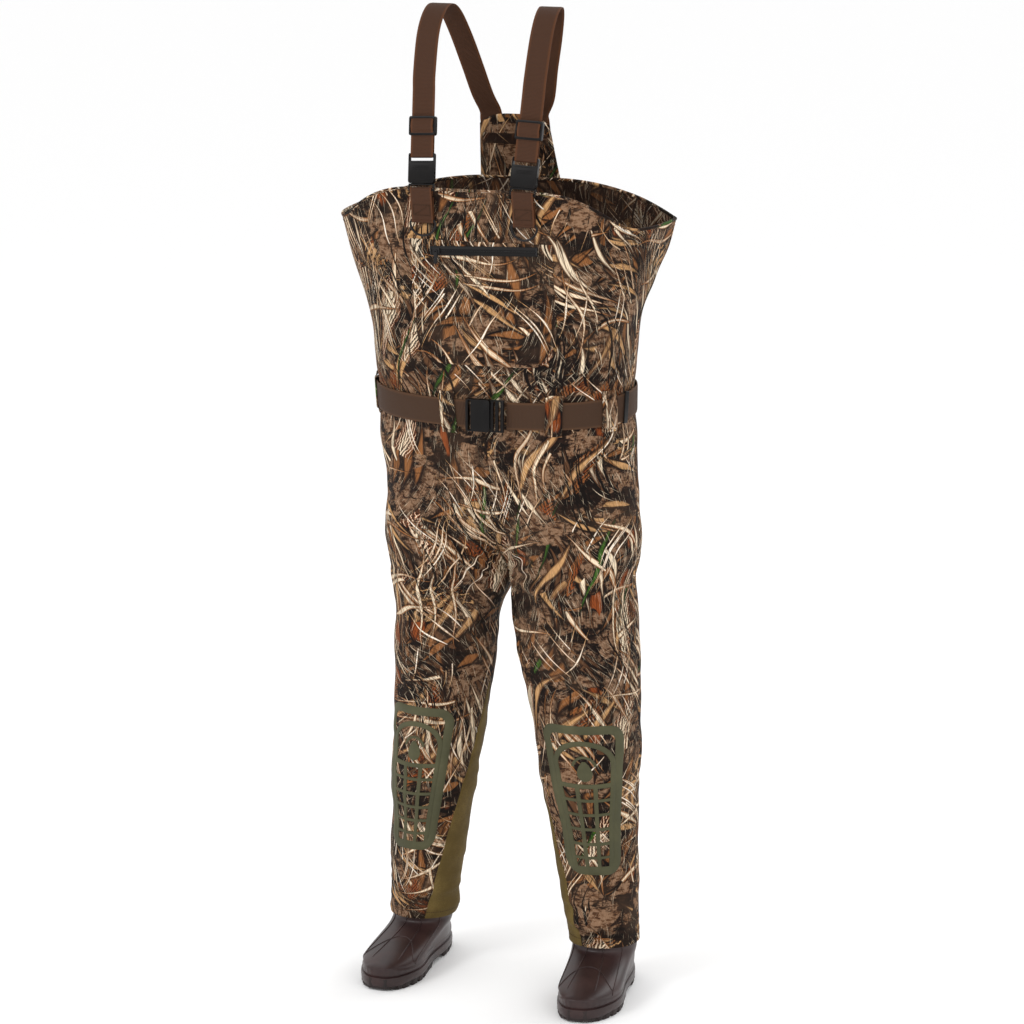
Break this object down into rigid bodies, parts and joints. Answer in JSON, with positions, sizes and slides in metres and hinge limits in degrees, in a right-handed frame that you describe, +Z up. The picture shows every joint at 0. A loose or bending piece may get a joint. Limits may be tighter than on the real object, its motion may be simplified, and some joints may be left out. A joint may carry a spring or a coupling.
{
  "type": "chest_waders",
  "caption": "Chest waders standing empty: fabric legs and a high bib on bonded rubber boots, shoulder straps with release buckles, a zipped chest pocket and a buckled belt.",
  "frame": {"origin": "centre of the footprint on the ground, under the middle of the bounding box", "axes": "+Z up, the wearer faces -Y, +X is the wearer's left"},
  "size_m": [0.5504, 0.3865, 1.675],
  "materials": {
    "camo_fabric": "matte",
    "camo_loop": "matte",
    "olive_fabric": "matte",
    "grip_rubber": "matte",
    "webbing": "matte",
    "zip_tape": "matte",
    "zip_teeth": "satin",
    "slider_metal": "satin",
    "buckle_plastic": "satin",
    "ring_steel": "satin",
    "boot_rubber": "satin",
    "sole_rubber": "matte",
    "insole_felt": "matte"
  },
  "bodies": {
    "shell": {"back_yoke": "camo_fabric", "yoke_tape": "olive_fabric", "torso_front_panel": "camo_fabric", "torso_back_panel": "camo_fabric", "left_leg_front_panel": "camo_fabric", "left_leg_back_panel": "camo_fabric", "left_inner_gusset": "olive_fabric", "left_knee_grip": "grip_rubber", "left_chest_tab": "webbing", "left_buckle_clip": "buckle_plastic", "left_clip_arm_inner": "buckle_plastic", "left_clip_arm_outer": "buckle_plastic", "left_shoulder_strap": "webbing", "left_boot_outsole": "sole_rubber", "left_boot_insole": "insole_felt", "left_boot_upper": "boot_rubber", "left_toe_bumper": "boot_rubber", "left_heel_counter": "boot_rubber", "right_leg_front_panel": "camo_fabric", "right_leg_back_panel": "camo_fabric", "right_inner_gusset": "olive_fabric", "right_knee_grip": "grip_rubber", "right_chest_tab": "webbing", "right_buckle_clip": "buckle_plastic", "right_clip_arm_inner": "buckle_plastic", "right_clip_arm_outer": "buckle_plastic", "right_shoulder_strap": "webbing", "right_boot_outsole": "sole_rubber", "right_boot_insole": "insole_felt", "right_boot_upper": "boot_rubber", "right_toe_bumper": "boot_rubber", "right_heel_counter": "boot_rubber", "chest_pocket": "camo_fabric", "pocket_zip_tape": "zip_tape", "pocket_zip_teeth": "zip_teeth", "belt_webbing": "webbing", "belt_loop_front_right": "camo_loop", "belt_loop_side_right": "camo_loop", "belt_loop_back_right": "camo_loop", "belt_loop_front_left": "camo_loop", "belt_loop_side_left": "camo_loop", "belt_loop_back_left": "camo_loop", "belt_buckle_socket": "buckle_plastic"},
    "left_strap_end": {"left_buckle_socket": "buckle_plastic", "left_strap_loop": "webbing"},
    "left_adjuster": {"left_strap_adjuster": "buckle_plastic"},
    "left_ring": {"left_d_ring": "ring_steel"},
    "right_strap_end": {"right_buckle_socket": "buckle_plastic", "right_strap_loop": "webbing"},
    "right_adjuster": {"right_strap_adjuster": "buckle_plastic"},
    "right_ring": {"right_d_ring": "ring_steel"},
    "zip_slider": {"pocket_zip_slider_body": "slider_metal"},
    "zip_pull": {"pocket_zip_pull": "slider_metal"},
    "belt_clip": {"belt_buckle_clip": "buckle_plastic", "belt_clip_arm_upper": "buckle_plastic", "belt_clip_arm_lower": "buckle_plastic"},
    "belt_keeper_body": {"belt_keeper": "buckle_plastic"}
  },
  "joints": [
    {"name": "left_buckle_release", "type": "slide", "parent": "shell", "child": "left_strap_end", "axis": [0.045, 0.214, 0.9758], "range_m": [0, 0.036], "deforming": ["left_clip_arm_inner", "left_clip_arm_outer"]},
    {"name": "left_adjuster_slide", "type": "slide", "parent": "left_strap_end", "child": "left_adjuster", "axis": [0.045, 0.214, 0.9758], "range_m": [-0.02, 0.03]},
    {"name": "left_ring_hinge", "type": "hinge", "parent": "shell", "child": "left_ring", "pos_m": [0.0855, -0.1786, 1.3395], "axis": [1, 0, 0], "range_deg": [-150, 0]},
    {"name": "right_buckle_release", "type": "slide", "parent": "shell", "child": "right_strap_end", "axis": [-0.045, 0.214, 0.9758], "range_m": [0, 0.036], "deforming": ["right_clip_arm_inner", "right_clip_arm_outer"]},
    {"name": "right_adjuster_slide", "type": "slide", "parent": "right_strap_end", "child": "right_adjuster", "axis": [-0.045, 0.214, 0.9758], "range_m": [-0.02, 0.03]},
    {"name": "right_ring_hinge", "type": "hinge", "parent": "shell", "child": "right_ring", "pos_m": [-0.0855, -0.1786, 1.3395], "axis": [1, 0, 0], "range_deg": [-150, 0]},
    {"name": "pocket_zip", "type": "slide", "parent": "shell", "child": "zip_slider", "axis": [0.9994, 0, 0.0349], "range_m": [0, 0.16]},
    {"name": "zip_pull_hinge", "type": "hinge", "parent": "zip_slider", "child": "zip_pull", "pos_m": [-0.06351, -0.18241, 1.2909], "axis": [0.9994, 0, 0.0349], "range_deg": [-170, 0]},
    {"name": "belt_buckle_release", "type": "slide", "parent": "shell", "child": "belt_clip", "axis": [1, 0, 0], "range_m": [0, 0.036], "deforming": ["belt_webbing", "belt_clip_arm_upper", "belt_clip_arm_lower"]},
    {"name": "belt_keeper_slide", "type": "slide", "parent": "shell", "child": "belt_keeper_body", "axis": [0.2976, 0.9547, 0], "range_m": [-0.006, 0.006]}
  ]
}
